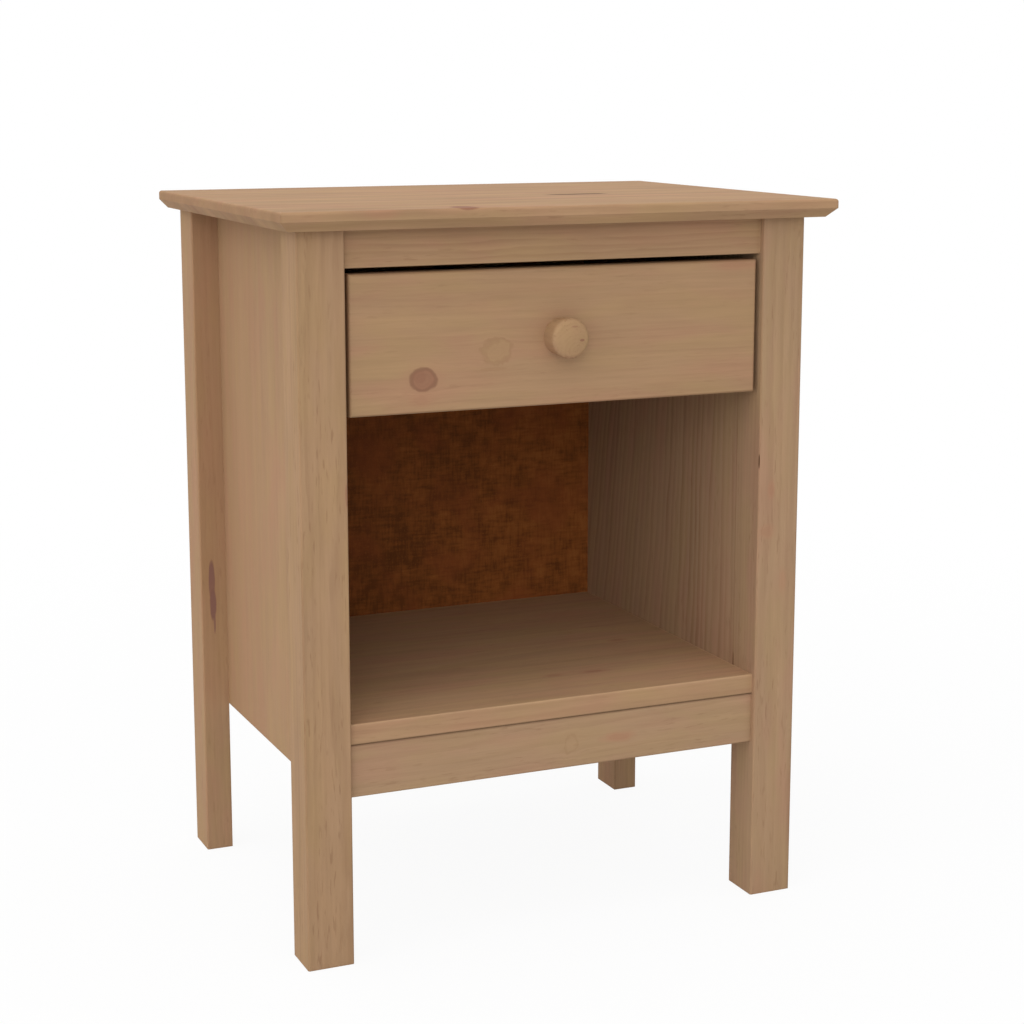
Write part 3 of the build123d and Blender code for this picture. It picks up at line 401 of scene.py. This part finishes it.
# The rail's corners are painted paler: sanding together with a painted highlight.
pine("front_top_rail", "XZY", pith=(-70.0, 40.0), ring=4.4, grain=0.24, pores=0.2, bands=0.2, edge=0.3)
pine("apron", "XZY", pith=(64.0, 52.0), ring=5.0, grain=0.2, pores=0.24, stain=GREYER,
     stained_and_shaded_joints=[("Z", APRON_TOP, 2.4, 0.48)],
     marks=[knot((59.0, APRON_FRONT, 168.0), (11.0, 8.0, 3.0), heart=0.1, rim=0.0, halo=0.6, ragged=0.5),
            knot((12.0, APRON_FRONT, 167.0), (7.0, 8.0, 8.5), heart=0.0, rim=0.16, halo=0.2, ragged=0.6,
                 colours=GHOST),
            blemish((17.0, APRON_FRONT, 165.5), (3.0, 8.0, 1.5), heart=0.2, colours=BROWN_AND_PAINTED_SHADE)])


# The shelf is the floor of the open compartment: a pine board glued up from staves.
# It lies on the apron and on a cleat along each side, and is screwed up from below.
SHELF_TOP = box_mm("shelf")[1].z
# Its upper face is painted paler, as painted light, and its corners are paler, sanding together with a
# painted highlight.
pine("shelf", "XYZ", pith=(36.0, -48.0), ring=9.0, grain=0.2, pores=0.2, bands=0.16, stave=86.0,
     edge=0.4, painted_top_light=0.12, stained_and_shaded_joints=[("Z", APRON_TOP, 2.0, 0.48)],
     marks=[knot((26.0, -92.0, SHELF_TOP), (8.0, 3.0, 20.0), heart=0.2, rim=0.0, halo=0.6),
            knot((66.0, -94.0, SHELF_TOP), (9.0, 3.0, 20.0), heart=0.3, rim=0.0, halo=0.7),
            knot((134.0, -4.0, SHELF_TOP), (7.0, 3.0, 20.0), heart=0.2, rim=0.0, halo=0.6)])


# The top is a pine board glued up from staves, wider than the frame on the front and sides.
# Its upper corners are rounded, its edge is chamfered away below, and screws hold it from underneath.
# It has a knot near the front edge, and a split filled with dark resin further back.
TOP_FACE, TOP_FRONT = box_mm("top_board")[1].z, box_mm("top_board")[0].y
pine("top_board", "XYZ", pith=(40.0, -60.0), ring=8.0, grain=0.18, pores=0.24, bands=0.55, stave=82.0,
     marks=[knot((-95.0, -178.0, TOP_FACE), (11.0, 15.0, 2.6), heart=1.0, rim=0.2, halo=0.2, ragged=0.15),
            knot((67.0, -28.5, TOP_FACE), (21.0, 5.2, 6.0), heart=1.0, rim=0.4, halo=0.15, swing=0.3,
                 colours=SPLIT),
            knot((87.0, -27.5, TOP_FACE), (21.0, 5.6, 6.0), heart=1.0, rim=0.4, halo=0.15, swing=0.3,
                 colours=SPLIT),
            knot((-169.0, TOP_FRONT, 637.5), (10.0, 8.0, 3.0), heart=0.0, rim=0.0, halo=0.4)])


# The back rails and the cleats are plain planed pine, left without stain.
# The rails are dowelled between the side panels, and the cleats are screwed to them.
RAW = {"pale": tint(214, 180, 134), "tan": tint(212, 182, 130), "blush": tint(208, 164, 122),
       "late": tint(172, 126, 82), "end": tint(190, 150, 106), "arris": tint(222, 192, 150)}


def raw_pine(node, axes, pith, ring):
    """Without stain, the rings of the wood stand out more."""
    pine(node, axes, pith, ring, grain=0.45, stain=RAW)


raw_pine("back_top_rail", "XZY", pith=(60.0, 30.0), ring=3.6)
raw_pine("back_bottom_rail", "XZY", pith=(-48.0, 44.0), ring=4.2)
for cleat, heart in (("left_top_cleat", 24.0), ("right_top_cleat", -30.0),
                     ("left_shelf_cleat", 36.0), ("right_shelf_cleat", -22.0)):
    raw_pine(cleat, "YZX", pith=(heart, 28.0), ring=3.4)


# The back panel and the drawer's bottom are thin hardboard: brown wood fibre pressed hard and smooth.
# The back is nailed into a rebate of the side panels, and the drawer's bottom lies in grooves.
BOARD_DEEP, BOARD_MID = tint(106, 60, 26), tint(141, 82, 37)
BOARD_WARM, BOARD_RED = tint(168, 104, 50), tint(138, 73, 38)
PRESSED = {"cloud": (60.0, 60.0, 60.0), "patch": (15.0, 15.0, 15.0), "level": (16.0, 16.0, 2.2),
           "upright": (2.2, 2.2, 16.0), "fleck": (2.2, 2.2, 2.2)}
DRIFT_FROM = 60.0


def hardboard(node, drift=0.0):
    """drift is how much paler the sheet is painted for each millimetre to the right of DRIFT_FROM:
    painted light, more of which reaches the sheet's right part.
    """
    material, board = new_finish(node + "_hardboard")
    place = board.place()
    across = board.add("SeparateXYZ", {}, {0: place}, "X")
    cloud = board.noise(place, PRESSED["cloud"], detail=3.0, out="Color")
    clouds = board.add("SeparateColor", {}, {0: cloud})
    patch = board.noise(place, PRESSED["patch"], detail=3.0)
    level, upright, fleck = (board.noise(place, PRESSED[kind]) for kind in ("level", "upright", "fleck"))
    # Painted light: the sheet is painted paler towards the right
    mottle_and_painted_light = clouds * 0.16 + (patch + level + upright) * 0.28 + (across - DRIFT_FROM) * drift
    colour = board.blend(board.rise(mottle_and_painted_light, 0.38, 0.58), BOARD_DEEP, BOARD_MID)
    colour = board.blend(board.rise(mottle_and_painted_light, 0.52, 0.66) * 0.7, colour, BOARD_WARM)
    colour = board.blend(board.rise(clouds.beside("Green"), 0.46, 0.66) * 0.5, colour, BOARD_RED)
    strokes = board.rise(level, 0.52, 0.7) + board.rise(upright, 0.52, 0.7)
    colour = board.blend(strokes * 0.18, colour, BOARD_DEEP)
    colour = board.blend(board.rise(fleck, 0.58, 0.72) * 0.3, colour, BOARD_WARM)
    board.surface(colour, 0.55 + mottle_and_painted_light * 0.25, mottle_and_painted_light * 0.5 + fleck * 0.5, 0.1, specular_ior_level=0.1)
    dress(node, material)


# The back is painted paler towards the right, as painted light.
hardboard("back_panel", drift=0.00024)
hardboard("drawer_bottom")


# The drawer front is one planed pine board with level grain and rounded front edges, and a red knot.
# The sides and back are thin unstained pine, dowelled together and let into the front.
DRAWER_FACE = box_mm("drawer_front")[0].y
# The drawer front's corners are darker: gathered stain together with painted shade from the rail and
# legs.
pine("drawer_front", "XZY", pith=(-120.0, 46.0), ring=6.0, grain=0.1, pores=0.14, bands=0.16, edge=-0.3,
     marks=[knot((-125.0, DRAWER_FACE, 498.0), (11.8, 30.0, 9.8), heart=0.7, rim=0.5, halo=0.2),
            blemish((-128.5, DRAWER_FACE, 501.0), (6.5, 30.0, 5.5), heart=0.35, ragged=0.4),
            blemish((-127.0, DRAWER_FACE, 481.0), (7.0, 30.0, 4.0), heart=0.1, halo=0.3, ragged=0.5),
            knot((-59.0, DRAWER_FACE, 518.0), (14.0, 30.0, 10.5), heart=0.5, rim=0.24, halo=0.0,
                 ragged=0.6, colours=GHOST),
            blemish((-62.0, DRAWER_FACE, 503.5), (13.0, 30.0, 1.6), heart=0.3, halo=0.1, colours=BROWN_AND_PAINTED_SHADE),
            blemish((168.0, DRAWER_FACE, 583.0), (17.0, 30.0, 2.6), heart=0.1, halo=0.45)])
raw_pine("drawer_left_side", "YZX", pith=(50.0, 36.0), ring=3.8)
raw_pine("drawer_right_side", "YZX", pith=(-60.0, 30.0), ring=4.0)
raw_pine("drawer_back", "XZY", pith=(66.0, 42.0), ring=3.6)


# The knob is turned from a short pine billet, so its domed face is end grain.
# It is stained and coated like the rest, and one screw holds it through the drawer front.
TURNED = {**STAINED, "end": tint(164, 131, 95), "arris": tint(172, 139, 103)}
UNDER_DOME = box_mm("knob")[0].y + 0.2
pine("knob", "YXZ", pith=(9.0, -11.0), ring=3.2, grain=0.25, pores=0.5, stain=TURNED,
     marks=[blemish((2.1, UNDER_DOME, 538.9), (3.0, 4.0, 0.9), heart=0.5),
            blemish((8.7, UNDER_DOME, 527.3), (2.6, 4.0, 1.2), heart=0.9)])


# The runners are folded steel strips with a cream powder coat: a channel screwed to each side panel
# and a rail under each side of the drawer. The paint has a fine orange peel and is rubbed lengthways.
CREAM, CREAM_DULL = tint(226, 220, 203), tint(205, 196, 174)
PEEL, DULL_PATCH, RUB = (0.9, 0.9, 0.9), (22.0, 60.0, 22.0), (0.7, 40.0, 0.7)


def powder_coat(node):
    material, paint = new_finish(node + "_powder_coat")
    place = paint.place()
    peel = paint.noise(place, PEEL, detail=1.0)
    dull = paint.noise(place, DULL_PATCH, detail=3.0)
    colour = paint.blend(paint.rise(dull, 0.45, 0.75) * 0.5, CREAM, CREAM_DULL)
    colour = paint.blend(paint.rise(paint.noise(place, RUB), 0.62, 0.75) * 0.25, colour, CREAM_DULL)
    paint.surface(colour, 0.34 + peel * 0.12, peel, 0.05, coat_weight=0.2, coat_roughness=0.25)
    dress(node, material)


for runner in ("left_runner_channel", "right_runner_channel", "left_drawer_rail", "right_drawer_rail"):
    powder_coat(runner)


# The rollers turn on the axles of the runners: moulded nylon wheels, milky white,
# with a matt tread and fine ring marks from the mould.
NYLON, NYLON_GREY = tint(232, 229, 219), tint(206, 201, 188)
MOULD_RING = 0.35
TREAD_START, TREAD_FULL = 1.1, 0.1
DUST = (3.0, 3.0, 3.0)


def nylon(node):
    """The tread is dusty, from TREAD_START below the wheel's rim and in full from TREAD_FULL below it."""
    material, wheel = new_finish(node + "_nylon")
    low, high = box_mm(node)
    rim = (high.z - low.z) / 2
    place = wheel.place()
    spoke = wheel.vector("SUBTRACT", place, (low + high) / 2)
    radius = wheel.vector("LENGTH", wheel.vector("MULTIPLY", spoke, (0.0, 1.0, 1.0)), out="Value")
    mould = wheel.sum("PINGPONG", radius, MOULD_RING) * 2.8
    dust = wheel.noise(place, DUST, detail=3.0)
    tread = wheel.rise(radius, rim - TREAD_START, rim - TREAD_FULL)
    colour = wheel.blend(wheel.rise(dust, 0.45, 0.75) * (tread * 0.6 + 0.3), NYLON, NYLON_GREY)
    wheel.surface(colour, 0.42 + tread * 0.15 + dust * 0.1, mould * 0.4 + dust * 0.6, 0.05,
                  subsurface_weight=0.15, subsurface_scale=0.002)
    dress(node, material)


for end in ("front_left", "front_right", "rear_left", "rear_right"):
    nylon(end + "_roller")


# The axles, screws and nails are drawn steel with a bright zinc plating.
# The plating clouds with handling, so its shine differs from patch to patch.
ZINC, ZINC_DULL = tint(206, 207, 208), tint(168, 167, 160)
HANDLED, SCRATCH = (2.6, 2.6, 2.6), (0.25, 4.0, 0.25)


def zinc(node):
    material, plate = new_finish(node + "_zinc")
    place = plate.place()
    cloud = plate.noise(place, HANDLED, detail=4.0)
    scratch = plate.noise(place, SCRATCH)
    colour = plate.blend(plate.rise(cloud, 0.42, 0.7), ZINC, ZINC_DULL)
    roughness = 0.26 + cloud * 0.2 + scratch * 0.08
    plate.surface(colour, roughness, scratch * 0.5 + cloud * 0.5, 0.02, metallic=1.0)
    dress(node, material)


for fastener in ("front_roller_axles", "rear_roller_axles", "knob_screw", "top_screws", "shelf_screws",
                 "cleat_screws", "channel_screws", "drawer_rail_screws", "back_panel_nails",
                 "drawer_bottom_nails"):
    zinc(fastener)


# The dowels are turned beech pins with chamfered ends, glued into the rails, legs and drawer.
# They all lie across the piece. Beech is close and even, with short dark flecks along the grain.
BEECH, BEECH_DARK = tint(205, 166, 124), tint(168, 124, 86)
FLECK, SHADING = (9.0, 0.6, 0.6), (14.0, 14.0, 14.0)


def beech(node):
    material, pin = new_finish(node + "_beech")
    place = pin.place()
    fleck = pin.noise(place, FLECK)
    share = pin.rise(fleck, 0.56, 0.72) * 0.8 + pin.noise(place, SHADING) * 0.2
    pin.surface(pin.blend(share, BEECH, BEECH_DARK), 0.5 + fleck * 0.2, fleck, 0.06)
    dress(node, material)


for pins in ("front_rail_dowels", "back_rail_dowels", "back_leg_dowels", "drawer_dowels"):
    beech(pins)


# The studio is a wide white floor under a white sky that is brighter at the front left, with a broad
# soft lamp overhead and a smaller one in front. The camera sees it as plain white, with the object's
# soft shadow, which fades out away from the object.
SKY, SKY_GLOW = 0.59, 1.06
SKY_GLOW_TURN, SKY_GLOW_LIFT = math.radians(60.0), math.radians(20.0)
SKY_GLOW_EDGE, SKY_GLOW_CORE = math.radians(70.0), math.radians(12.0)
FLOOR_BOUNCE, FLOOR_SEEN = (0.66, 0.66, 0.66, 1.0), (0.85, 0.85, 0.85, 1.0)
FLOOR_GLOW = 0.93
FLOOR_FADE_START, FLOOR_FADE_END = 600.0, 1800.0
FLOOR_REACH, FLOOR_DROP = 6.0, 0.0005
LAMP_AIM = Vector((0, 0, 0.4))
WHITE = (1.0, 1.0, 1.0, 1.0)


def seen(finish):
    """1 on the rays by which the background itself is seen, also in a reflection or through glass."""
    ray = finish.add("LightPath", {}, {}, "Is Camera Ray")
    mirrored = ray.beside("Is Glossy Ray") + ray.beside("Is Transmission Ray")
    return finish.sum("MINIMUM", ray + mirrored, 1.0)


world = bpy.data.worlds.new("sky")
world.use_nodes = True
bpy.context.scene.world = world
sky = Finish(world.node_tree)
towards_glow = (-math.sin(SKY_GLOW_TURN) * math.cos(SKY_GLOW_LIFT),
                -math.cos(SKY_GLOW_TURN) * math.cos(SKY_GLOW_LIFT), math.sin(SKY_GLOW_LIFT))
direction = sky.add("TexCoord", {}, {}, "Generated")
nearness = sky.vector("DOT_PRODUCT", direction, towards_glow, out="Value")
light = SKY + sky.rise(nearness, math.cos(SKY_GLOW_EDGE), math.cos(SKY_GLOW_CORE)) * SKY_GLOW
plain = sky.add("Background", {}, {"Color": light, "Strength": 1.0})
backdrop = sky.add("Background", {}, {"Color": WHITE, "Strength": 1.0})
sky.add("OutputWorld", {}, {"Surface": sky.add("MixShader", {}, {0: seen(sky), 1: plain, 2: backdrop})})

floor_mesh = bpy.data.meshes.new("floor")
corners = [(x * FLOOR_REACH, y * FLOOR_REACH, 0) for x, y in ((-1, -1), (1, -1), (1, 1), (-1, 1))]
floor_mesh.from_pydata(corners, [], [(0, 1, 2, 3)])
floor = bpy.data.objects.new("floor", floor_mesh)
floor.location.z = -FLOOR_DROP
bpy.context.scene.collection.objects.link(floor)
floor_material, ground = new_finish("floor_white")
matt = ground.add("BsdfDiffuse", {}, {"Color": FLOOR_BOUNCE})
shaded = ground.add("BsdfDiffuse", {}, {"Color": FLOOR_SEEN})
glow = ground.add("Emission", {}, {"Color": WHITE, "Strength": 1.0})
from_middle = ground.vector("LENGTH", ground.place(), out="Value")
share = FLOOR_GLOW + ground.rise(from_middle, FLOOR_FADE_START, FLOOR_FADE_END) * (1 - FLOOR_GLOW)
white = ground.add("MixShader", {}, {0: share, 1: shaded, 2: glow})
either = ground.add("MixShader", {}, {0: seen(ground), 1: matt, 2: white})
ground.add("OutputMaterial", {}, {"Surface": either})
floor_mesh.materials.append(floor_material)

for name, place, size, watts in (("overhead_lamp", (-0.4, -0.2, 4.0), 3.0, 43.0),
                                 ("front_lamp", (-1.2, -3.0, 1.6), 1.2, 11.4)):
    lamp = bpy.data.lights.new(name, "AREA")
    lamp.shape, lamp.size, lamp.energy = "DISK", size, watts
    holder = bpy.data.objects.new(name, lamp)
    holder.location = place
    holder.rotation_euler = (LAMP_AIM - holder.location).to_track_quat("-Z", "Y").to_euler()
    bpy.context.scene.collection.objects.link(holder)
bpy.context.scene.view_settings.view_transform = "Standard"


# The camera stands at the front left, a little above the top, as in the photograph.
# It dips to take in the whole piece with hardly any shift of the lens.
CAMERA_PLACE = (-0.748, -1.7677, 0.7387)
CAMERA_TURN, CAMERA_DIP = 23.63, 10.16
camera = bpy.data.cameras.new("camera")
camera.lens, camera.sensor_width, camera.shift_y = 73.96, 36.0, -0.05
camera_object = bpy.data.objects.new("camera", camera)
camera_object.location = CAMERA_PLACE
camera_object.rotation_euler = (math.radians(90 - CAMERA_DIP), 0.0, math.radians(-CAMERA_TURN))
bpy.context.scene.collection.objects.link(camera_object)
bpy.context.scene.camera = camera_object
